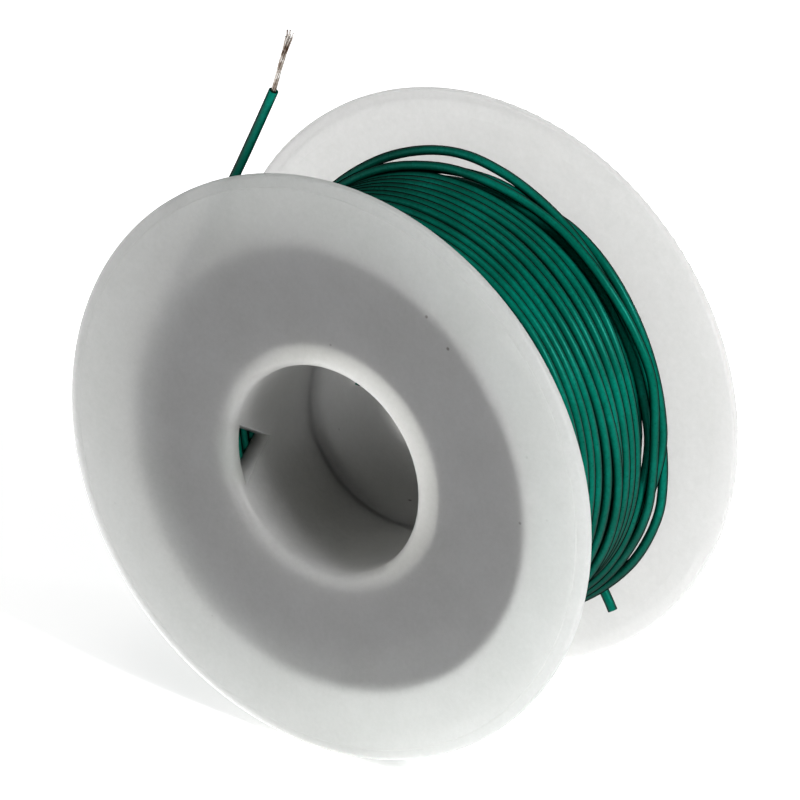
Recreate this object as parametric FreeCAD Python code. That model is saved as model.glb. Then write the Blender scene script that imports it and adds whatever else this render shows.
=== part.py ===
import FreeCAD, Part
import math
import os

# Wire spool: a two-piece moulded reel holding about 25 m of single-core stranded equipment wire.
# Frame: millimetres, +Z up, reel axis along Y, origin on the bore axis half-way between the flanges.
# The reel stands on its two rims, with its axis level. The front flange is at -Y.

V = FreeCAD.Vector

# ---- driving dimensions -----------------------------------------------------------------
FLANGE_R = 37.5          # outer radius of both flanges
OVERALL_W = 34.8         # overall width over the flange faces
FLANGE_T = 1.6           # flange thickness on the flat
BORE_R = 13.4            # spindle bore radius
BARREL_R = 15.75         # barrel outside radius
MOUTH_R = 0.9            # rounding of the bore mouth
ROOT_R = 0.5             # fillet between barrel and flange
EDGE_R = 0.40            # rounding of the rim
BEVEL_IN = 1.5           # width of the bevelled band on the outer face
TAPER_IN = 2.9           # width of the thinned band on the inner face
SEAM_Y = -0.3            # where the two bore walls butt
LAP_LEN = 2.8            # length of the lap joint in the barrel wall
LAP_R = 14.60            # radius of the lap
LAP_GAP = 0.03           # radial clearance on each side of the lap
NOTCH_ANGLE = 188.65     # direction of the wire notches round the barrel, from +X towards +Z
NOTCH_HALF = 3.94        # half width of a notch at the flange
NOTCH_DEEP = 6.6         # how far a notch runs along the barrel from the flange

WIRE_D = 1.22            # wire over its insulation
WIRE_R = WIRE_D / 2.0
STRAND_D = 0.20          # one tinned strand
STRAND_PITCH_R = 0.212   # the six outer strands lie on this radius
STRANDS = 7

U = FLANGE_R             # routes below are in flange radii
Y0 = 0.44315             # half the distance between the rims, in flange radii

half_w = OVERALL_W / 2.0
inner_y = half_w - FLANGE_T

# winding, as (radius, distance behind the front rim) corners in flange radii
WIND_MAIN_R = 0.745
WIND_MAIN_END = 0.697
WIND_GROOVE_R = 0.709
WIND_RING_START = 0.748
WIND_RING_R = 0.765
WIND_RING_END = 0.794
WIND_REAR_R = 0.672


def at(angle, radius, depth):
    """A point from its angle round the axis, its radius and its distance behind the front rim, in flange radii."""
    a = math.radians(angle)
    return V(radius * U * math.cos(a), (depth - Y0) * U, radius * U * math.sin(a))


def tube_path(points, share=0.45):
    """Straight runs joined by tangent arcs. Returns the wire, its length and the arc radii."""
    edges = []
    radii = []
    length = 0.0
    here = points[0]
    for i in range(1, len(points) - 1):
        a, b, c = points[i - 1], points[i], points[i + 1]
        d1 = b.sub(a)
        d2 = c.sub(b)
        l1, l2 = d1.Length, d2.Length
        d1.normalize()
        d2.normalize()
        turn = math.acos(max(-1.0, min(1.0, d1.dot(d2))))
        cut = share * min(l1, l2)
        radius = cut / math.tan(turn / 2.0)
        start = b.sub(V(d1).multiply(cut))
        end = b.add(V(d2).multiply(cut))
        inward = V(d2).sub(d1)
        inward.normalize()
        centre = b.add(V(inward).multiply(radius / math.cos(turn / 2.0)))
        middle = centre.sub(V(inward).multiply(radius))
        edges.append(Part.LineSegment(here, start).toShape())
        length += start.sub(here).Length
        edges.append(Part.Arc(start, middle, end).toShape())
        length += radius * turn
        radii.append(radius)
        here = end
    edges.append(Part.LineSegment(here, points[-1]).toShape())
    length += points[-1].sub(here).Length
    return Part.Wire(edges), length, radii


def tube(name, points, radius):
    path, length, radii = tube_path(points)
    direction = points[1].sub(points[0])
    section = Part.Wire([Part.Circle(points[0], direction, radius).toShape()])
    solid = path.makePipeShell([section], True, False)
    if solid.ShapeType != "Solid":
        solid = Part.Solid(solid.Shells[0])
    if solid.Volume < 0:
        solid.reverse()
    want = math.pi * radius * radius * length
    print("%-14s length %7.2f  volume %8.3f  section x length %8.3f  radii %s" % (
        name, length, solid.Volume, want, " ".join("%.1f" % r for r in radii)))
    return solid, length


def turned(profile):
    """A solid of revolution about Y from (radius, y) corners; a corner may carry a rounding radius."""
    n = len(profile)
    corners = [(V(p[0], p[1], 0), p[2] if len(p) > 2 else 0.0) for p in profile]
    edges = []
    starts = []
    ends = []
    arcs = []
    for i in range(n):
        p, r = corners[i]
        a = corners[i - 1][0]
        b = corners[(i + 1) % n][0]
        if r <= 0:
            starts.append(p)
            ends.append(p)
            arcs.append(None)
            continue
        u = a.sub(p)
        w = b.sub(p)
        u.normalize()
        w.normalize()
        angle = math.acos(max(-1.0, min(1.0, u.dot(w))))
        cut = r / math.tan(angle / 2.0)
        s = p.add(V(u).multiply(cut))
        e = p.add(V(w).multiply(cut))
        mid_dir = V(u).add(w)
        mid_dir.normalize()
        centre = p.add(V(mid_dir).multiply(r / math.sin(angle / 2.0)))
        m = centre.sub(V(mid_dir).multiply(r))
        starts.append(s)
        ends.append(e)
        arcs.append(Part.Arc(s, m, e).toShape())
    for i in range(n):
        if arcs[i] is not None:
            edges.append(arcs[i])
        edges.append(Part.LineSegment(ends[i], starts[(i + 1) % n]).toShape())
    face = Part.Face(Part.Wire(edges))
    solid = face.revolve(V(0, 0, 0), V(0, 1, 0), 360)
    if solid.ShapeType != "Solid":
        solid = Part.Solid(solid.Shells[0])
    if solid.Volume < 0:
        solid.reverse()
    return solid


def notch_cutter(sign):
    """A triangular prism through the barrel wall, its base on the flange and its point towards the middle."""
    a = math.radians(NOTCH_ANGLE)
    out = V(math.cos(a), 0, math.sin(a))
    side = V(-math.sin(a), 0, math.cos(a))
    axis = V(0, 1, 0)

    def p(along, y):
        return V(out).multiply(BORE_R * 0.80).add(V(side).multiply(along)).add(V(axis).multiply(y))

    base_y = sign * (inner_y + 0.02)
    tip_y = sign * (inner_y - NOTCH_DEEP)
    wire = Part.makePolygon([p(-NOTCH_HALF, base_y), p(NOTCH_HALF, base_y), p(0, tip_y), p(-NOTCH_HALF, base_y)])
    return Part.Face(wire).extrude(V(out).multiply(BARREL_R * 0.5))


# ---- the reel: two moulded halves lapped in the middle of the barrel ---------------------
def reel_half(sign):
    s = sign
    outer = s * half_w
    inner = s * inner_y
    flange = [
        (BORE_R, outer, MOUTH_R),
        (FLANGE_R - BEVEL_IN, outer),
        (FLANGE_R - BEVEL_IN + 0.12, outer - s * 0.09),
        (FLANGE_R, outer - s * 0.27, EDGE_R),
        (FLANGE_R, inner + s * 0.22, EDGE_R * 0.75),
        (FLANGE_R - TAPER_IN, inner),
        (BARREL_R, inner, ROOT_R),
    ]
    if s < 0:
        # socket half: the outer part of its wall runs on over the spigot
        barrel = [
            (BARREL_R, SEAM_Y + LAP_LEN),
            (LAP_R + LAP_GAP, SEAM_Y + LAP_LEN),
            (LAP_R + LAP_GAP, SEAM_Y),
            (BORE_R, SEAM_Y),
        ]
    else:
        # spigot half: the inner part of its wall reaches the seam
        barrel = [
            (BARREL_R, SEAM_Y + LAP_LEN),
            (LAP_R - LAP_GAP, SEAM_Y + LAP_LEN),
            (LAP_R - LAP_GAP, SEAM_Y),
            (BORE_R, SEAM_Y),
        ]
    solid = turned(flange + barrel)
    return solid.cut(notch_cutter(s))


front_reel_half = reel_half(-1)
rear_reel_half = reel_half(1)

# ---- the winding: one closed solid of its outer shape ------------------------------------
CLEAR = 0.03
gap_y = inner_y - CLEAR


def dy(depth):
    return (depth - Y0) * U


wire_winding = turned([
    (BARREL_R + CLEAR, -gap_y, ROOT_R + 0.05),
    (WIND_MAIN_R * U, -gap_y, 0.5),
    (WIND_MAIN_R * U, dy(WIND_MAIN_END), 0.5),
    (WIND_GROOVE_R * U, dy(WIND_MAIN_END)),
    (WIND_GROOVE_R * U, dy(WIND_RING_START)),
    (WIND_RING_R * U, dy(WIND_RING_START), 0.5),
    (WIND_RING_R * U, dy(WIND_RING_END), 0.5),
    (WIND_REAR_R * U, dy(WIND_RING_END)),
    (WIND_REAR_R * U, gap_y, 0.5),
    (BARREL_R + CLEAR, gap_y, ROOT_R + 0.05),
])

# ---- the loose outer turn, from where it leaves the winding to where it joins it again ----
LOOSE = [
    (186, 0.748, 0.775), (172, 0.760, 0.792), (158, 0.768, 0.806), (145, 0.773, 0.815),
    (132, 0.777, 0.820), (120, 0.788, 0.820), (110, 0.799, 0.820), (100, 0.808, 0.8205),
    (91, 0.807, 0.820), (82, 0.789, 0.820), (73, 0.771, 0.8205), (64, 0.766, 0.820),
    (52, 0.762, 0.821), (40, 0.756, 0.821), (28, 0.751, 0.821), (16, 0.7505, 0.821),
    (4, 0.754, 0.820), (-7, 0.769, 0.819), (-18, 0.794, 0.815), (-29, 0.805, 0.808),
    (-40, 0.803, 0.802), (-52, 0.798, 0.800), (-66, 0.790, 0.800), (-80, 0.779, 0.795),
    (-94, 0.765, 0.785), (-107, 0.748, 0.775),
]
loose_turn, _ = tube("loose_turn", [at(*p) for p in LOOSE], WIRE_R)
# it rises out of the winding's rear ring of turns, so it is cut by that ring's cylinder
ring_cut = Part.makeCylinder(WIND_RING_R * U, dy(WIND_RING_END) - dy(WIND_RING_START), V(0, dy(WIND_RING_START), 0), V(0, 1, 0))
loose_turn = loose_turn.cut(ring_cut)

# ---- the start tail: it comes up along the rear flange and ends cut square ---------------
TAIL = [
    (-46.4, 0.655, 0.8365), (-46.9, 0.715, 0.8375), (-47.2, 0.775, 0.8365), (-47.7, 0.832, 0.8375), (-48.5, 0.887, 0.8365),
]
tail_points = [at(*p) for p in TAIL]
start_tail, _ = tube("start_tail", tail_points, WIRE_R)
start_tail = start_tail.cut(wire_winding)

# ---- the free lead: leaves the winding at a tangent, runs nearly straight and is stripped --
LEAD_DEPTH = 0.100


def lead_at(x, z, depth=LEAD_DEPTH):
    return V(x * U, (depth - Y0) * U, z * U)


LEAD = [
    at(180.0, 0.752, 0.094), at(170.0, 0.7655, 0.096), at(159.5, 0.7690, 0.098),
    lead_at(-0.6150, 0.5050, 0.0995), lead_at(-0.4460, 0.8720), lead_at(-0.3580, 1.0760, 0.1005), lead_at(-0.3030, 1.2070),
]
lead_insulation, _ = tube("lead_insulation", LEAD, WIRE_R)
lead_insulation = lead_insulation.cut(wire_winding)

# ---- the seven bare strands, twisted together and slightly opened at the tip --------------
BORE_IN = 1.5            # depth that the strands are modelled inside the insulation
strand_bore_r = STRAND_PITCH_R + STRAND_D / 2.0 + 0.02
end = LEAD[-1]
end_dir = LEAD[-1].sub(LEAD[-2])
end_dir.normalize()
inside = end.sub(V(end_dir).multiply(BORE_IN))
lead_insulation = lead_insulation.cut(Part.makeCylinder(strand_bore_r, BORE_IN + 1.0, inside, end_dir))

bare = [inside, end, lead_at(-0.2915, 1.2520), lead_at(-0.2790, 1.3000), lead_at(-0.2650, 1.3480), lead_at(-0.2530, 1.3930), lead_at(-0.2440, 1.4290)]
TWIST = 205.0            # degrees of lay over the bare length
OPEN = [1.0, 1.0, 1.02, 1.05, 1.15, 1.5, 2.1]   # how far the outer strands stand from the core, along the bare length
SPLAY = {2: 1.45, 5: 0.9, 3: 0.75}


def frames(points):
    out = []
    side = V(0, 1, 0)
    for i in range(len(points)):
        a = points[max(i - 1, 0)]
        b = points[min(i + 1, len(points) - 1)]
        t = b.sub(a)
        t.normalize()
        n = side.sub(V(t).multiply(side.dot(t)))
        n.normalize()
        out.append((t, n, t.cross(n)))
    return out


bare_frames = frames(bare)
walk = [0.0]
for i in range(1, len(bare)):
    walk.append(walk[-1] + bare[i].sub(bare[i - 1]).Length)
strands = {}
TRIM = {1: 0.0, 2: 1.0, 3: 0.35, 4: 0.7, 5: 0.2, 6: 0.9, 7: 0.5}
for k in range(STRANDS):
    name = "strand_%d" % (k + 1)
    pts = []
    for i, p in enumerate(bare):
        if k == 0:
            pts.append(V(p))
            continue
        t, n, b = bare_frames[i]
        a = math.radians(60.0 * k + TWIST * (walk[i] / walk[-1]))
        r = STRAND_PITCH_R * (1.0 + (OPEN[i] - 1.0) * SPLAY.get(k, 1.0))
        pts.append(p.add(V(n).multiply(r * math.cos(a))).add(V(b).multiply(r * math.sin(a))))
    last = pts[-1].sub(pts[-2])
    full = last.Length
    last.normalize()
    pts[-1] = pts[-2].add(last.multiply(max(full - TRIM[k + 1], 0.5)))
    if k == 0:
        pts[2] = pts[2].add(V(0.01, 0, 0.0))
    strands[name], _ = tube(name, pts, STRAND_D / 2.0)

# ---- the cut end of the start tail shows the same seven strands ---------------------------
TAIL_IN = 1.0
TAIL_OUT = 0.06
t_end = tail_points[-1]
t_dir = tail_points[-1].sub(tail_points[-2])
t_dir.normalize()
t_in = t_end.sub(V(t_dir).multiply(TAIL_IN))
start_tail = start_tail.cut(Part.makeCylinder(strand_bore_r, TAIL_IN + 1.0, t_in, t_dir))
t_side = V(0, 1, 0).sub(V(t_dir).multiply(V(0, 1, 0).dot(t_dir)))
t_side.normalize()
t_up = t_dir.cross(t_side)
tail_bits = []
for k in range(STRANDS):
    c = V(t_in)
    if k:
        a = math.radians(60.0 * k + 12)
        c = c.add(V(t_side).multiply(STRAND_PITCH_R * math.cos(a))).add(V(t_up).multiply(STRAND_PITCH_R * math.sin(a)))
    tail_bits.append(Part.makeCylinder(STRAND_D / 2.0, TAIL_IN + TAIL_OUT, c, t_dir))
tail_conductor = Part.makeCompound(tail_bits)

# ---- write the pieces ---------------------------------------------------------------------
nodes = {
    "front_reel_half": front_reel_half,
    "rear_reel_half": rear_reel_half,
    "wire_winding": wire_winding,
    "loose_turn": loose_turn,
    "start_tail": start_tail,
    "tail_conductor": tail_conductor,
    "lead_insulation": lead_insulation,
}
nodes.update(strands)

os.makedirs("parts", exist_ok=True)
for name in sorted(nodes):
    shape = nodes[name]
    solids = shape.Solids
    ok = all(x.isValid() for x in solids)
    box = shape.BoundBox
    print("%-16s solids %d valid %s volume %9.3f  box %.2f %.2f %.2f .. %.2f %.2f %.2f" % (
        name, len(solids), ok, sum(x.Volume for x in solids), box.XMin, box.YMin, box.ZMin, box.XMax, box.YMax, box.ZMax))
    out = solids[0] if len(solids) == 1 else Part.makeCompound(solids)
    out.exportStep("parts/%s.step" % name)
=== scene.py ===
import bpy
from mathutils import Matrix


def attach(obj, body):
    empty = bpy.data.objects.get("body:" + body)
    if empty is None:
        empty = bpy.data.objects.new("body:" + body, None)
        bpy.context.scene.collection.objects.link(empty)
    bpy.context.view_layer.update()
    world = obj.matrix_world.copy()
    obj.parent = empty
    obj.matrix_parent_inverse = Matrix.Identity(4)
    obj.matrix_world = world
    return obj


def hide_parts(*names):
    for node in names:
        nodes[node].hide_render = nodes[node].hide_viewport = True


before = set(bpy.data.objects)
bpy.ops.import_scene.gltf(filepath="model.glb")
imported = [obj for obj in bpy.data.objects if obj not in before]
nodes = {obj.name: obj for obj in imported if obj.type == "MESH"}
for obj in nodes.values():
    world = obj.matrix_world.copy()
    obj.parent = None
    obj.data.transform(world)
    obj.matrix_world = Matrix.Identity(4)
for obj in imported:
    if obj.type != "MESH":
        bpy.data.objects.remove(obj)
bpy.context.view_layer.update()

import math

import bpy
import numpy as np
from mathutils import Matrix, Vector

scene = bpy.context.scene
U = 0.0375          # flange radius, in metres
Y0 = 0.44315        # half the distance between the rims, in flange radii
WIRE_R = 0.00061
BORE_WIRE_R = 0.000332


# ---------------------------------------------------------------- camera
def make_camera():
    az, el, roll = math.radians(32.97), math.radians(25.10), math.radians(1.68)
    dist, ox, oy = 25.212, -0.2361, -0.2239
    back = Vector((math.sin(az) * math.cos(el), -math.cos(az) * math.cos(el), math.sin(el)))
    fwd = -back
    right = fwd.cross(Vector((0, 0, 1))).normalized()
    up = right.cross(fwd)
    r2 = right * math.cos(roll) + up * math.sin(roll)
    u2 = -right * math.sin(roll) + up * math.cos(roll)
    where = back * dist - r2 * ox - u2 * oy - Vector((0, Y0, 0))
    data = bpy.data.cameras.new("camera")
    data.sensor_width = 36.0
    data.lens = 7864.0 / 800.0 * 36.0
    data.clip_start = 0.01
    data.clip_end = 50.0
    cam = bpy.data.objects.new("camera", data)
    m = Matrix((
        (r2.x, u2.x, back.x, where.x * U),
        (r2.y, u2.y, back.y, where.y * U),
        (r2.z, u2.z, back.z, where.z * U),
        (0, 0, 0, 1)))
    cam.matrix_world = m
    scene.collection.objects.link(cam)
    scene.camera = cam
    bpy.context.scene.camera = cam


make_camera()


# ---------------------------------------------------------------- the wire's route
# Points are (angle round the axis in degrees, radius, depth behind the front rim), in flange radii.
# The angle runs down along the wire and isn't folded back at a turn.
def place(angle, radius, depth):
    a = math.radians(angle)
    return Vector((radius * U * math.cos(a), (depth - Y0) * U, radius * U * math.sin(a)))


def smooth_noise(a, seed):
    """A slow wander in -1..1 along the wire; a is the running angle in radians."""
    s = seed * 1.7
    return (math.sin(2.31 * a + s) + 0.7 * math.sin(1.37 * a + 2.1 * s + 1.0) + 0.45 * math.sin(3.93 * a + 0.6 * s + 2.0)) / 2.15


TAIL = [
    (-48.5, 0.887, 0.8365), (-47.7, 0.832, 0.8375), (-47.2, 0.775, 0.8365), (-46.9, 0.715, 0.8375),
    (-46.4, 0.655, 0.8365), (-46.0, 0.600, 0.8370), (-45.5, 0.550, 0.8370), (-46.5, 0.497, 0.8360),
    (-52.0, 0.459, 0.8345), (-63.0, 0.4405, 0.8340), (-76.0, 0.4370, 0.8360),
]

# the loose rear turns, in the order in which the wire runs
TURN_D = [
    (200, 0.6935, 0.7900), (180, 0.6940, 0.7930), (160, 0.6960, 0.7970), (140, 0.6990, 0.8050), (120, 0.7020, 0.8150),
    (100, 0.7040, 0.8220), (88, 0.7050, 0.8220), (76, 0.7055, 0.8120), (62, 0.7060, 0.8000), (46, 0.7065, 0.7960), (32, 0.7080, 0.7900),
    (20, 0.7110, 0.7850), (10, 0.7160, 0.7830), (2, 0.7215, 0.7940), (-4, 0.7270, 0.7830), (-10, 0.7330, 0.7660),
    (-17, 0.7430, 0.7500), (-24, 0.7545, 0.7435), (-31, 0.7620, 0.7425), (-39, 0.7680, 0.7410), (-48, 0.7700, 0.7400),
    (-58, 0.7620, 0.7380), (-70, 0.7480, 0.7360), (-86, 0.7350, 0.7355),
    (-104, 0.7290, 0.7365), (-122, 0.7290, 0.7380), (-140, 0.7290, 0.7400), (-152, 0.7300, 0.7415),
]
TURN_C = [
    (200, 0.7310, 0.7430), (192, 0.7460, 0.7470), (185, 0.7615, 0.7560), (177, 0.7665, 0.7720), (168, 0.7660, 0.7880),
    (158, 0.7700, 0.8060), (145, 0.7730, 0.8150), (132, 0.7770, 0.8200), (120, 0.7880, 0.8200), (110, 0.7990, 0.8200),
    (100, 0.8080, 0.8205), (91, 0.8070, 0.8205), (82, 0.7900, 0.8195), (76, 0.7810, 0.8150), (70, 0.7762, 0.8050),
    (65, 0.7765, 0.7930), (60, 0.7715, 0.7890), (55, 0.7640, 0.7870), (50, 0.7535, 0.7890), (45, 0.7440, 0.7900),
    (40, 0.7390, 0.7910), (34, 0.7345, 0.7930), (28, 0.7300, 0.7990), (22, 0.7270, 0.8060), (16, 0.7240, 0.8130),
    (10, 0.7240, 0.8260), (5, 0.7290, 0.8375), (-1, 0.7430, 0.8390), (-7, 0.7580, 0.8385), (-13, 0.7755, 0.8340),
    (-18, 0.7935, 0.8260), (-24, 0.8010, 0.8190), (-30, 0.8060, 0.8130), (-36, 0.8065, 0.8100), (-43, 0.8025, 0.8090),
    (-50, 0.8000, 0.8075), (-58, 0.7960, 0.8050), (-68, 0.7890, 0.8020), (-80, 0.7790, 0.8020), (-94, 0.7650, 0.8010),
    (-107, 0.7520, 0.8020), (-120, 0.7430, 0.8040), (-134, 0.7390, 0.8060), (-147, 0.7380, 0.8070),
]
TURN_B = [
    (200, 0.7380, 0.8080), (190, 0.7350, 0.8100), (180, 0.7330, 0.8120), (170, 0.7320, 0.8110), (158, 0.7335, 0.8075),
    (145, 0.7370, 0.8030), (132, 0.7430, 0.7970), (120, 0.7500, 0.7920), (110, 0.7550, 0.7880), (98, 0.7570, 0.7850),
    (88, 0.7600, 0.7890), (80, 0.7620, 0.7935), (72, 0.7460, 0.8055), (65, 0.7520, 0.8180), (59, 0.7610, 0.8215),
    (50, 0.7615, 0.8215), (40, 0.7560, 0.8210), (28, 0.7510, 0.8210), (16, 0.7505, 0.8210), (5, 0.7555, 0.8200),
    (-1, 0.7605, 0.8115), (-7, 0.7580, 0.8020), (-13, 0.7520, 0.7995), (-20, 0.7430, 0.7920), (-30, 0.7350, 0.7800),
    (-45, 0.7310, 0.7720), (-60, 0.7290, 0.7690), (-76, 0.7290, 0.7690), (-92, 0.7290, 0.7695), (-107, 0.7290, 0.7700),
    (-120, 0.7290, 0.7710), (-134, 0.7290, 0.7725), (-147, 0.7300, 0.7745),
]
TURN_A = [
    (200, 0.7310, 0.7765), (192, 0.7305, 0.7730), (185, 0.7300, 0.7670), (177, 0.7315, 0.7610), (168, 0.7360, 0.7560),
    (155, 0.7450, 0.7540), (142, 0.7550, 0.7540), (128, 0.7650, 0.7540), (113, 0.7735, 0.7545), (98, 0.7755, 0.7550),
    (88, 0.7750, 0.7550), (78, 0.7730, 0.7545), (70, 0.7725, 0.7565), (61, 0.7735, 0.7575), (54, 0.7715, 0.7550),
    (48, 0.7690, 0.7560), (41, 0.7660, 0.7600), (34, 0.7690, 0.7630), (28, 0.7720, 0.7650), (23, 0.7760, 0.7660),
    (18, 0.7775, 0.7660), (12, 0.7725, 0.7620), (6, 0.7650, 0.7580), (0, 0.7630, 0.7580), (-6, 0.7645, 0.7600),
    (-11, 0.7695, 0.7615), (-16, 0.7760, 0.7650), (-23, 0.7790, 0.7670), (-30, 0.7790, 0.7720), (-37, 0.7815, 0.7755),
    (-44, 0.7850, 0.7765), (-52, 0.7850, 0.7740), (-62, 0.7800, 0.7690), (-75, 0.7720, 0.7600), (-90, 0.7650, 0.7460),
    (-105, 0.7600, 0.7275), (-120, 0.7510, 0.7130), (-134, 0.7400, 0.7085), (-147, 0.7330, 0.7080),
]
# the outer layer's turns: the angles round the axis at which they are given
TURN_AT = [200, 155, 110, 100, 90, 80, 70, 60, 50, 40, 30, 20, 10, 0, -10, -20, -30, -40, -75, -115]
# radius and depth of the outer layer's turns at those angles, from the rearmost turn forward
TURN_R = [
    [0.7340, 0.7390, 0.7420, 0.7425, 0.7410, 0.7390, 0.7370, 0.7350, 0.7330, 0.7310, 0.7310, 0.7320, 0.7350, 0.7400, 0.7460, 0.7520, 0.7530, 0.7530, 0.7490, 0.7410],
    [0.7340, 0.7390, 0.7420, 0.7425, 0.7410, 0.7390, 0.7370, 0.7350, 0.7330, 0.7310, 0.7310, 0.7320, 0.7350, 0.7400, 0.7460, 0.7520, 0.7530, 0.7530, 0.7490, 0.7410],
    [0.7340, 0.7390, 0.7420, 0.7425, 0.7410, 0.7390, 0.7370, 0.7350, 0.7330, 0.7310, 0.7310, 0.7320, 0.7350, 0.7400, 0.7470, 0.7560, 0.7570, 0.7530, 0.7490, 0.7410],
    [0.7340, 0.7390, 0.7420, 0.7425, 0.7410, 0.7390, 0.7370, 0.7350, 0.7330, 0.7310, 0.7310, 0.7320, 0.7340, 0.7370, 0.7420, 0.7470, 0.7490, 0.7500, 0.7490, 0.7410],
    [0.7340, 0.7390, 0.7420, 0.7425, 0.7410, 0.7390, 0.7370, 0.7350, 0.7330, 0.7310, 0.7310, 0.7340, 0.7420, 0.7530, 0.7615, 0.7670, 0.7690, 0.7660, 0.7550, 0.7410],
    [0.7340, 0.7390, 0.7420, 0.7425, 0.7410, 0.7390, 0.7370, 0.7350, 0.7330, 0.7310, 0.7310, 0.7320, 0.7350, 0.7400, 0.7460, 0.7510, 0.7530, 0.7530, 0.7490, 0.7410],
    [0.7340, 0.7390, 0.7420, 0.7425, 0.7410, 0.7390, 0.7370, 0.7350, 0.7330, 0.7310, 0.7310, 0.7320, 0.7350, 0.7400, 0.7460, 0.7510, 0.7530, 0.7530, 0.7490, 0.7410],
    [0.7340, 0.7390, 0.7420, 0.7425, 0.7410, 0.7390, 0.7370, 0.7350, 0.7330, 0.7310, 0.7310, 0.7320, 0.7350, 0.7400, 0.7460, 0.7510, 0.7530, 0.7530, 0.7490, 0.7410],
    [0.7340, 0.7390, 0.7420, 0.7425, 0.7410, 0.7390, 0.7370, 0.7350, 0.7330, 0.7310, 0.7310, 0.7320, 0.7350, 0.7400, 0.7460, 0.7510, 0.7530, 0.7530, 0.7490, 0.7410],
    [0.7340, 0.7390, 0.7420, 0.7425, 0.7410, 0.7390, 0.7370, 0.7350, 0.7330, 0.7310, 0.7310, 0.7320, 0.7350, 0.7400, 0.7460, 0.7510, 0.7530, 0.7530, 0.7490, 0.7410],
    [0.7340, 0.7390, 0.7420, 0.7425, 0.7410, 0.7390, 0.7370, 0.7350, 0.7330, 0.7310, 0.7310, 0.7320, 0.7350, 0.7400, 0.7460, 0.7510, 0.7530, 0.7530, 0.7490, 0.7410],
]
TURN_DEPTH = [
    [0.7085, 0.7230, 0.7430, 0.7440, 0.7297, 0.7225, 0.7175, 0.7154, 0.7149, 0.7113, 0.6983, 0.6882, 0.6881, 0.6858, 0.6919, 0.6971, 0.7040, 0.7030, 0.6960, 0.6840],
    [0.6745, 0.6880, 0.7060, 0.7020, 0.6917, 0.6855, 0.6815, 0.6794, 0.6739, 0.6683, 0.6603, 0.6562, 0.6531, 0.6538, 0.6599, 0.6651, 0.6700, 0.6690, 0.6620, 0.6500],
    [0.6405, 0.6540, 0.6720, 0.6640, 0.6547, 0.6475, 0.6445, 0.6414, 0.6339, 0.6263, 0.6213, 0.6182, 0.6181, 0.6178, 0.6261, 0.6315, 0.6360, 0.6350, 0.6280, 0.6160],
    [0.6065, 0.6190, 0.6360, 0.6270, 0.6127, 0.6045, 0.5995, 0.5924, 0.5849, 0.5803, 0.5763, 0.5762, 0.5774, 0.5850, 0.5880, 0.5970, 0.6010, 0.6000, 0.5940, 0.5820],
    [0.5725, 0.5820, 0.5990, 0.5890, 0.5747, 0.5675, 0.5615, 0.5554, 0.5509, 0.5483, 0.5453, 0.5407, 0.5466, 0.5577, 0.5603, 0.5673, 0.5680, 0.5660, 0.5600, 0.5480],
    [0.5385, 0.5460, 0.5620, 0.5500, 0.5357, 0.5275, 0.5185, 0.5104, 0.5059, 0.5033, 0.5013, 0.5052, 0.5101, 0.5138, 0.5159, 0.5145, 0.5200, 0.5220, 0.5240, 0.5140],
    [0.5045, 0.5080, 0.5220, 0.5120, 0.4977, 0.4885, 0.4805, 0.4724, 0.4639, 0.4593, 0.4573, 0.4572, 0.4561, 0.4538, 0.4479, 0.4515, 0.4700, 0.4780, 0.4880, 0.4790],
    [0.4700, 0.4660, 0.4736, 0.4650, 0.4437, 0.4385, 0.4335, 0.4294, 0.4249, 0.4233, 0.4223, 0.4222, 0.4191, 0.4138, 0.4039, 0.4120, 0.4250, 0.4360, 0.4480, 0.4440],
    [0.4350, 0.4300, 0.4230, 0.4150, 0.4017, 0.3985, 0.3945, 0.3904, 0.3879, 0.3893, 0.3883, 0.3842, 0.3781, 0.3740, 0.3700, 0.3770, 0.3880, 0.3960, 0.4080, 0.4060],
    [0.3985, 0.3910, 0.3790, 0.3730, 0.3660, 0.3585, 0.3555, 0.3524, 0.3519, 0.3523, 0.3473, 0.3460, 0.3430, 0.3390, 0.3360, 0.3420, 0.3500, 0.3570, 0.3680, 0.3680],
    [0.3620, 0.3520, 0.3380, 0.3340, 0.3300, 0.3250, 0.3210, 0.3164, 0.3149, 0.3143, 0.3133, 0.3110, 0.3080, 0.3050, 0.3020, 0.3070, 0.3140, 0.3200, 0.3300, 0.3300],
]
# the wire's last half turn, which climbs over the layer to where the lead leaves
CLIMB = [(-20, 0.7520, 0.0400), (-60, 0.7570, 0.0450), (-100, 0.7680, 0.0660), (-140, 0.7705, 0.0840)]
LEAD = [
    (-0.6150, 0.5050, 0.0995), (-0.4460, 0.8720, 0.1000), (-0.3580, 1.0760, 0.1005), (-0.3030, 1.2070, 0.1000),
]

LAYER_R = [0.4365 + k * (0.729 - 0.4365) / 8 for k in range(9)]
ENDS = [(0.840, 0.040), (0.0405, 0.845), (0.844, 0.041), (0.040, 0.845), (0.844, 0.040), (0.041, 0.832), (0.822, 0.040), (0.041, 0.790)]


def tail_room(angle, depth):
    """Turns behind the start tail keep clear of it, where it lies flat on the rear flange."""
    d = (angle + 47.0 + 180.0) % 360.0 - 180.0
    near = max(0.0, min(1.0, (depth - 0.50) / 0.33))
    return -0.050 * math.exp(-(d / 24.0) ** 2) * near


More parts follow.
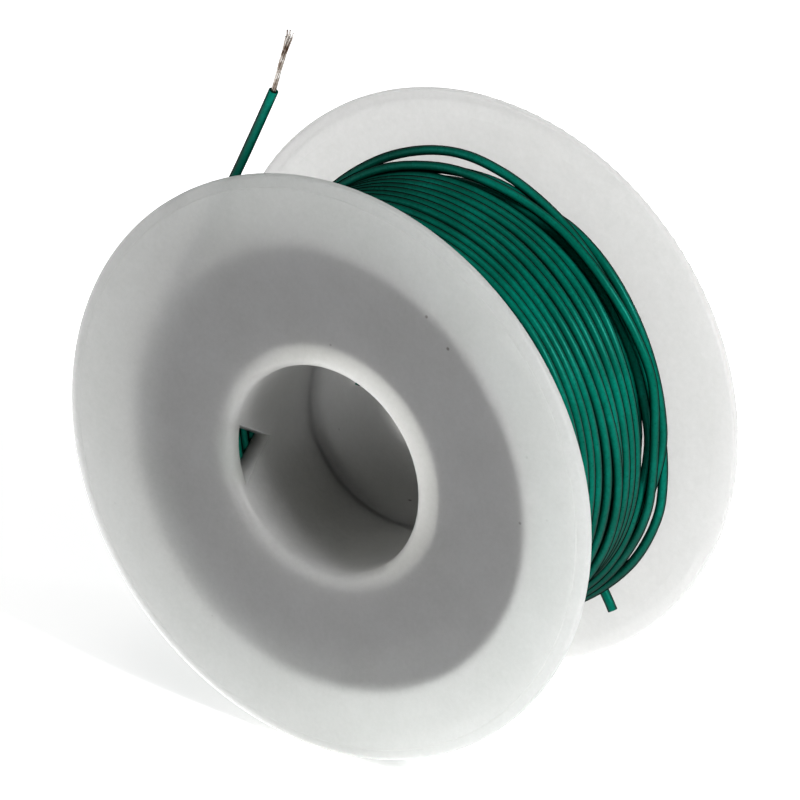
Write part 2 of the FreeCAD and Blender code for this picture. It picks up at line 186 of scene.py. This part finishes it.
def inner_points():
    pitch = 0.0395
    turns = [abs(b - a) / pitch for a, b in ENDS]
    total = sum(turns)
    start = -88.0
    whole = round(total - (start + 360 - 200.0) / 360.0)
    sweep = 360.0 * whole + (start + 360 - 200.0 - 20.0)   # ends one step before the first loose turn begins
    steps = int(round(sweep / 22.5))
    step = sweep / steps
    edges = [0.0]
    for t in turns:
        edges.append(edges[-1] + t / total)
    out = []
    last_layer = 0
    for i in range(steps + 1):
        s = i / steps
        k = 0
        while k < 7 and s > edges[k + 1]:
            k += 1
        f = (s - edges[k]) / (edges[k + 1] - edges[k])
        a, b = ENDS[k]
        depth = a + (b - a) * f
        angle = start - step * i
        rad = math.radians(angle)
        since = f * turns[k] * 360.0
        r = LAYER_R[k]
        if k and since < 60.0:
            w = since / 60.0
            w = w * w * (3 - 2 * w)
            r = LAYER_R[k - 1] + (LAYER_R[k] - LAYER_R[k - 1]) * w
        depth += 0.0022 * smooth_noise(rad, 3 + k) * min(1.0, (0.845 - depth) / 0.02, (depth - 0.04) / 0.02 + 0.2)
        r += 0.0016 * smooth_noise(rad * 1.1, 11 + k)
        depth += tail_room(angle, depth)
        out.append((angle, r, depth))
    return out


def outer_points(start):
    """From the end of turn A to where the lead leaves. start is the running angle at which the layer begins."""
    knots = []
    for turn in range(19):
        k = min(turn, len(TURN_R) - 1)
        for at, r, d in zip(TURN_AT, TURN_R[k], TURN_DEPTH[k]):
            if turn == 18 and at < 30:
                break
            knots.append((start - 200.0 + at - 360.0 * turn, r, d - 0.0333 * (turn - k)))
    base = knots[-1][0] - 30.0
    knots += [(base + at, r, d) for at, r, d in CLIMB]
    end = knots[-1][0]
    n = int(round((start - end) / 12.5))
    out = []
    j = 0
    for i in range(n + 1):
        angle = start + (end - start) * i / n
        while j < len(knots) - 2 and angle < knots[j + 1][0]:
            j += 1
        (a0, r0, d0), (a1, r1, d1) = knots[j], knots[j + 1]
        f = (a0 - angle) / (a0 - a1)
        rad = math.radians(angle)
        depth = d0 + (d1 - d0) * f + 0.0008 * smooth_noise(rad * 0.83, 5)
        r = r0 + (r1 - r0) * f + 0.0008 * smooth_noise(rad * 0.61, 8)
        out.append((angle, r, depth))
    return out


def running(table, start):
    """The table's angles, moved by whole turns so that it follows on from start."""
    shift = 360.0 * round((start - table[0][0]) / 360.0)
    while table[0][0] + shift >= start:
        shift -= 360.0
    return [(a + shift, r, d) for a, r, d in table]


def route_points():
    wound = inner_points()
    inner_count = len(wound)
    for table in (TURN_D, TURN_C, TURN_B, TURN_A):
        wound += running(table, wound[-1][0])
    base = wound[-1][0]
    start = base - ((base - 200.0) % 360.0)
    loose_count = len(wound)
    wound += outer_points(start)
    # the lead rises off the layer before it leaves
    a_end = wound[-1][0]
    a180 = a_end - ((a_end - 180.0) % 360.0)
    for a, r, d in ((20.0, 0.7700, 0.0905), (0.0, 0.769, 0.094), (-10.0, 0.769, 0.096), (-20.5, 0.769, 0.098)):
        wound.append((a180 + a, r, d))
    pts = [place(*p) for p in TAIL]
    for i, (a, r, d) in enumerate(wound):
        a0 = wound[max(i - 1, 0)][0]
        a1 = wound[min(i + 1, len(wound) - 1)][0]
        step = abs(a1 - a0) / (2.0 if 0 < i < len(wound) - 1 else 1.0)
        lift = 8.0 / (6.0 + 2.0 * math.cos(math.radians(min(step, 30.0))))
        if i >= len(wound) - 3:
            lift = 1.0
        grow = 1.0035 if i > inner_count else 1.0
        pts.append(place(a, r * lift * grow, d))
    for x, z, d in LEAD:
        pts.append(Vector((x * U, (d - Y0) * U, z * U)))
    first_outer = len(TAIL) + inner_count - int(19 * 16)
    return pts, first_outer, len(TAIL) + inner_count


points, first_layer8, first_loose = route_points()

curve = bpy.data.curves.new("route", "CURVE")
curve.dimensions = "3D"
curve.resolution_u = 4
spline = curve.splines.new("NURBS")
spline.points.add(len(points) - 1)
flat = np.ones((len(points), 4), np.float32)
flat[:, :3] = [tuple(p) for p in points]
spline.points.foreach_set("co", flat.ravel())
spline.order_u = 3
spline.use_endpoint_u = True
spline.resolution_u = 4
route = bpy.data.objects.new("route", curve)
scene.collection.objects.link(route)
bpy.context.view_layer.update()
line = bpy.data.meshes.new_from_object(route)
path = np.zeros(len(line.vertices) * 3, np.float64)
line.vertices.foreach_get("co", path)
path = path.reshape(-1, 3)
bpy.data.meshes.remove(line)
bpy.data.objects.remove(route)
bpy.data.curves.remove(curve)

per = len(path) / (len(points) - 2.0)
cut8 = int(first_layer8 * per)
cut_loose = int(first_loose * per)
keep_from = int(len(TAIL) * per)
chosen = list(range(0, keep_from)) + list(range(keep_from, cut8, 2)) + list(range(cut8, len(path)))
sides = [14] * keep_from + [6] * len(range(keep_from, cut8, 2)) + [8] * (cut_loose - cut8) + [16] * (len(path) - cut_loose)
centres = path[chosen]


def tube_frames(c):
    t = np.zeros_like(c)
    t[1:-1] = c[2:] - c[:-2]
    t[0] = c[1] - c[0]
    t[-1] = c[-1] - c[-2]
    t /= np.linalg.norm(t, axis=1)[:, None]
    n = np.zeros_like(c)
    ref = np.array([0.0, 1.0, 0.0])
    v = ref - t[0] * np.dot(ref, t[0])
    v /= np.linalg.norm(v)
    n[0] = v
    for i in range(1, len(c)):
        v = v - t[i] * np.dot(v, t[i])
        v /= np.linalg.norm(v)
        n[i] = v
    return t, n, np.cross(t, n)


def build_wire():
    t, n, b = tube_frames(centres)
    verts = []
    faces = []
    rings = []
    arc = np.concatenate([[0.0], np.cumsum(np.linalg.norm(np.diff(centres, axis=0), axis=1))])
    along = []
    around = []
    for i in range(len(centres)):
        k = sides[i]
        a = np.arange(k) * 2 * math.pi / k
        # the extruded insulation varies by a few microns along its length
        r = WIRE_R * (1.0 + 0.006 * math.sin(arc[i] * 190.0) + 0.004 * math.sin(arc[i] * 613.0 + 1.0))
        ring = centres[i] + r * (np.cos(a)[:, None] * n[i] + np.sin(a)[:, None] * b[i])
        start = len(verts)
        verts.extend(ring.tolist())
        rings.append((start, k))
    for i in range(len(rings) - 1):
        s0, k0 = rings[i]
        s1, k1 = rings[i + 1]
        if k0 == k1:
            for j in range(k0):
                faces.append((s0 + j, s0 + (j + 1) % k0, s1 + (j + 1) % k1, s1 + j))
        else:
            # a step in the number of sides, closed with triangles by angle
            x = y = 0
            while x < k0 or y < k1:
                if y >= k1 or (x < k0 and (x + 1) / k0 <= (y + 1) / k1):
                    faces.append((s0 + x % k0, s0 + (x + 1) % k0, s1 + y % k1))
                    x += 1
                else:
                    faces.append((s0 + x % k0, s1 + (y + 1) % k1, s1 + y % k1))
                    y += 1

    def cap(index, sign, inward):
        """A cut end: a slightly rolled edge, the annulus, and the bore that holds the strands."""
        s, k = rings[index]
        a = np.arange(k) * 2 * math.pi / k
        c = centres[index]
        last = list(range(s, s + k))
        for r, push in ((WIRE_R * 0.975, 0.000018), (BORE_WIRE_R * 1.02, 0.000022), (BORE_WIRE_R * 0.97, -0.00006), (BORE_WIRE_R * 0.95, -inward)):
            ring = c + t[index] * sign * push + r * (np.cos(a)[:, None] * n[index] + np.sin(a)[:, None] * b[index])
            start = len(verts)
            verts.extend(ring.tolist())
            now = list(range(start, start + k))
            for j in range(k):
                f = (last[j], last[(j + 1) % k], now[(j + 1) % k], now[j])
                faces.append(f if sign > 0 else f[::-1])
            last = now
        faces.append(tuple(last) if sign > 0 else tuple(last[::-1]))

    cap(0, -1.0, 0.0009)
    cap(len(centres) - 1, 1.0, 0.0014)
    mesh = bpy.data.meshes.new("insulated_wire")
    mesh.from_pydata(verts, [], faces)
    mesh.polygons.foreach_set("use_smooth", [True] * len(mesh.polygons))
    mesh.update()
    obj = bpy.data.objects.new("insulated_wire", mesh)
    scene.collection.objects.link(obj)
    print("wire faces", len(faces), "triangles", sum(len(f) - 2 for f in faces))
    return obj


wire = build_wire()


# ---------------------------------------------------------------- materials
def new_material(name):
    m = bpy.data.materials.new(name)
    m.use_nodes = True
    nt = m.node_tree
    nt.nodes.clear()
    out = nt.nodes.new("ShaderNodeOutputMaterial")
    bsdf = nt.nodes.new("ShaderNodeBsdfPrincipled")
    nt.links.new(bsdf.outputs["BSDF"], out.inputs["Surface"])
    return m, nt, bsdf


def node(nt, kind, **values):
    n = nt.nodes.new(kind)
    for key, value in values.items():
        if key in n.inputs:
            n.inputs[key].default_value = value
        else:
            setattr(n, key, value)
    return n


def ramp(nt, source, stops):
    r = nt.nodes.new("ShaderNodeValToRGB")
    el = r.color_ramp.elements
    el[0].position, el[0].color = stops[0][0], stops[0][1]
    el[1].position, el[1].color = stops[-1][0], stops[-1][1]
    for p, c in stops[1:-1]:
        e = el.new(p)
        e.color = c
    nt.links.new(source, r.inputs["Fac"])
    return r


def grey(v, a=1.0):
    return (v, v, v, a)


def wire_material():
    m, nt, b = new_material("green_insulation")
    L = nt.links
    co = node(nt, "ShaderNodeTexCoord")
    big = node(nt, "ShaderNodeTexNoise", Scale=130.0, Detail=3.0, Roughness=0.6)
    L.new(co.outputs["Object"], big.inputs["Vector"])
    fine = node(nt, "ShaderNodeTexNoise", Scale=2600.0, Detail=3.0, Roughness=0.65)
    L.new(co.outputs["Object"], fine.inputs["Vector"])
    mixed = node(nt, "ShaderNodeMath", operation="ADD")
    half = node(nt, "ShaderNodeMath", operation="MULTIPLY")
    half.inputs[1].default_value = 0.55
    L.new(fine.outputs["Fac"], half.inputs[0])
    L.new(big.outputs["Fac"], mixed.inputs[0])
    L.new(half.outputs[0], mixed.inputs[1])
    colour = ramp(nt, mixed.outputs[0], [
        (0.45, (0.0, 0.064, 0.041, 1)), (0.78, (0.0, 0.104, 0.068, 1)), (1.0, (0.0, 0.150, 0.104, 1))])
    # painted shade: the base colour is darkened towards the sides of each turn as seen, standing in for the shade that
    # falls between the turns
    edge = node(nt, "ShaderNodeLayerWeight", Blend=0.5)
    side_painted_shade = ramp(nt, edge.outputs["Facing"], [(0.10, (1.0, 1.0, 1.0, 1)), (0.36, (0.42, 0.42, 0.42, 1)), (0.62, (0.05, 0.05, 0.05, 1))])
    shade = node(nt, "ShaderNodeMix", data_type="RGBA", blend_type="MULTIPLY")
    shade.inputs["Factor"].default_value = 1.0
    L.new(colour.outputs["Color"], shade.inputs[6])
    L.new(side_painted_shade.outputs["Color"], shade.inputs[7])
    L.new(shade.outputs[2], b.inputs["Base Color"])
    rough = ramp(nt, fine.outputs["Fac"], [(0.3, grey(0.26)), (0.75, grey(0.38))])
    L.new(rough.outputs["Color"], b.inputs["Roughness"])
    b.inputs["IOR"].default_value = 1.50
    gloss = ramp(nt, edge.outputs["Facing"], [(0.30, grey(0.24)), (0.60, grey(0.0))])
    L.new(gloss.outputs["Color"], b.inputs["Specular IOR Level"])
    b.inputs["Specular Tint"].default_value = (0.10, 0.80, 0.70, 1)
    bump = node(nt, "ShaderNodeBump", Strength=0.18, Distance=0.00003)
    L.new(fine.outputs["Fac"], bump.inputs["Height"])
    L.new(bump.outputs["Normal"], b.inputs["Normal"])
    return m


def reel_material(name, low, high):
    m, nt, b = new_material(name)
    L = nt.links
    co = node(nt, "ShaderNodeTexCoord")
    cloud = node(nt, "ShaderNodeTexNoise", Scale=75.0, Detail=4.0, Roughness=0.6)
    L.new(co.outputs["Object"], cloud.inputs["Vector"])
    grain = node(nt, "ShaderNodeTexNoise", Scale=1500.0, Detail=4.0, Roughness=0.7)
    L.new(co.outputs["Object"], grain.inputs["Vector"])
    tone = node(nt, "ShaderNodeMath", operation="ADD")
    part = node(nt, "ShaderNodeMath", operation="MULTIPLY")
    part.inputs[1].default_value = 0.5
    L.new(grain.outputs["Fac"], part.inputs[0])
    L.new(cloud.outputs["Fac"], tone.inputs[0])
    L.new(part.outputs[0], tone.inputs[1])
    colour = ramp(nt, tone.outputs[0], [(0.45, low), (1.0, high)])
    # sparse dark specks of dirt in the moulding
    cells = node(nt, "ShaderNodeTexVoronoi", Scale=260.0, Randomness=1.0)
    L.new(co.outputs["Object"], cells.inputs["Vector"])
    speck = ramp(nt, cells.outputs["Distance"], [(0.035, grey(1.0)), (0.075, grey(0.0))])
    rare = node(nt, "ShaderNodeTexNoise", Scale=95.0, Detail=1.0)
    L.new(co.outputs["Object"], rare.inputs["Vector"])
    rare_mask = ramp(nt, rare.outputs["Fac"], [(0.60, grey(0.0)), (0.66, grey(1.0))])
    mask = node(nt, "ShaderNodeMath", operation="MULTIPLY")
    L.new(speck.outputs["Color"], mask.inputs[0])
    L.new(rare_mask.outputs["Color"], mask.inputs[1])
    mix = node(nt, "ShaderNodeMix", data_type="RGBA")
    L.new(mask.outputs[0], mix.inputs["Factor"])
    L.new(colour.outputs["Color"], mix.inputs[6])
    mix.inputs[7].default_value = (0.16, 0.15, 0.13, 1)
    L.new(mix.outputs[2], b.inputs["Base Color"])
    rough = ramp(nt, grain.outputs["Fac"], [(0.25, grey(0.50)), (0.8, grey(0.66))])
    L.new(rough.outputs["Color"], b.inputs["Roughness"])
    b.inputs["Subsurface Weight"].default_value = 1.0
    b.inputs["Subsurface Radius"].default_value = (1.0, 1.0, 0.96)
    b.inputs["Subsurface Scale"].default_value = 0.050
    b.inputs["IOR"].default_value = 1.45
    b.inputs["Coat Weight"].default_value = 0.12
    b.inputs["Coat Roughness"].default_value = 0.28
    bump = node(nt, "ShaderNodeBump", Strength=0.25, Distance=0.00006)
    L.new(grain.outputs["Fac"], bump.inputs["Height"])
    L.new(bump.outputs["Normal"], b.inputs["Normal"])
    return m


def strand_material():
    m, nt, b = new_material("tinned_strand")
    L = nt.links
    co = node(nt, "ShaderNodeTexCoord")
    patch = node(nt, "ShaderNodeTexNoise", Scale=900.0, Detail=3.0, Roughness=0.6)
    L.new(co.outputs["Object"], patch.inputs["Vector"])
    colour = ramp(nt, patch.outputs["Fac"], [(0.32, (0.10, 0.055, 0.035, 1)), (0.50, (0.34, 0.29, 0.25, 1)), (0.72, (0.80, 0.78, 0.76, 1))])
    L.new(colour.outputs["Color"], b.inputs["Base Color"])
    b.inputs["Metallic"].default_value = 1.0
    rough = ramp(nt, patch.outputs["Fac"], [(0.3, grey(0.38)), (0.7, grey(0.20))])
    L.new(rough.outputs["Color"], b.inputs["Roughness"])
    bump = node(nt, "ShaderNodeBump", Strength=0.2, Distance=0.00001)
    L.new(patch.outputs["Fac"], bump.inputs["Height"])
    L.new(bump.outputs["Normal"], b.inputs["Normal"])
    return m


def copper_material():
    m, nt, b = new_material("sheared_copper")
    L = nt.links
    co = node(nt, "ShaderNodeTexCoord")
    patch = node(nt, "ShaderNodeTexNoise", Scale=3000.0, Detail=3.0, Roughness=0.6)
    L.new(co.outputs["Object"], patch.inputs["Vector"])
    colour = ramp(nt, patch.outputs["Fac"], [(0.3, (0.45, 0.20, 0.12, 1)), (0.7, (0.85, 0.50, 0.34, 1))])
    L.new(colour.outputs["Color"], b.inputs["Base Color"])
    b.inputs["Metallic"].default_value = 1.0
    rough = ramp(nt, patch.outputs["Fac"], [(0.3, grey(0.45)), (0.7, grey(0.28))])
    L.new(rough.outputs["Color"], b.inputs["Roughness"])
    bump = node(nt, "ShaderNodeBump", Strength=0.2, Distance=0.00001)
    L.new(patch.outputs["Fac"], bump.inputs["Height"])
    L.new(bump.outputs["Normal"], b.inputs["Normal"])
    return m


def floor_material():
    m, nt, b = new_material("pale_floor")
    L = nt.links
    co = node(nt, "ShaderNodeTexCoord")
    n = node(nt, "ShaderNodeTexNoise", Scale=30.0, Detail=3.0)
    L.new(co.outputs["Object"], n.inputs["Vector"])
    colour = ramp(nt, n.outputs["Fac"], [(0.3, (0.93, 0.93, 0.93, 1)), (0.7, (0.96, 0.96, 0.96, 1))])
    L.new(colour.outputs["Color"], b.inputs["Base Color"])
    b.inputs["Roughness"].default_value = 0.9
    b.inputs["Specular IOR Level"].default_value = 0.1
    b.inputs["Emission Color"].default_value = (1, 1, 1, 1)
    b.inputs["Emission Strength"].default_value = 0.64
    return m


def paint(obj, material):
    obj.data.materials.clear()
    obj.data.materials.append(material)
    obj.data.polygons.foreach_set("material_index", [0] * len(obj.data.polygons))


reel = reel_material("frosted_polypropylene", (0.420, 0.422, 0.385, 1), (0.525, 0.525, 0.490, 1))
paint(nodes["front_reel_half"], reel)
paint(nodes["rear_reel_half"], reel)
strand = strand_material()
strand_nodes = [nodes["strand_%d" % k] for k in range(1, 8)]
for o in strand_nodes:
    paint(o, strand)
paint(nodes["tail_conductor"], copper_material())
paint(wire, wire_material())

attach(wire, "root")
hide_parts("wire_winding", "loose_turn", "start_tail", "lead_insulation")

# ---------------------------------------------------------------- floor and light
mesh = bpy.data.meshes.new("floor")
z = -U - 0.00005
mesh.from_pydata([(-4, -4, z), (4, -4, z), (4, 4, z), (-4, 4, z)], [], [(0, 1, 2, 3)])
floor = bpy.data.objects.new("floor", mesh)
scene.collection.objects.link(floor)
floor.data.materials.append(floor_material())

world = bpy.data.worlds.new("studio")
world.use_nodes = True
world.node_tree.nodes["Background"].inputs["Color"].default_value = (1.0, 1.0, 1.0, 1)
world.node_tree.nodes["Background"].inputs["Strength"].default_value = 0.13
scene.world = world


def area(name, where, look, size, power, size_y=None, colour=(1, 1, 1)):
    data = bpy.data.lights.new(name, "AREA")
    data.shape = "RECTANGLE"
    data.size = size
    data.size_y = size_y or size
    data.energy = power
    data.color = colour
    obj = bpy.data.objects.new(name, data)
    obj.location = where
    obj.rotation_euler = (Vector(look) - Vector(where)).to_track_quat("-Z", "Y").to_euler()
    scene.collection.objects.link(obj)
    return obj


area("front_soft", (-0.55, -0.80, 0.45), (0, 0, 0), 0.6, 2.5)
area("right_key", (0.78, -0.18, 0.50), (0, 0, 0), 0.16, 7.6)
area("right_strip", (0.66, 0.42, 0.02), (0, 0, 0), 0.05, 1.5, size_y=0.5)
area("top", (0.05, -0.20, 1.0), (0, 0, 0), 0.5, 1.8)

scene.view_settings.view_transform = "Standard"
scene.view_settings.look = "None"
scene.cycles.max_bounces = 20
scene.cycles.transmission_bounces = 16
scene.cycles.diffuse_bounces = 6
scene.cycles.glossy_bounces = 6
scene.cycles.transparent_max_bounces = 8
scene.cycles.use_denoising = True
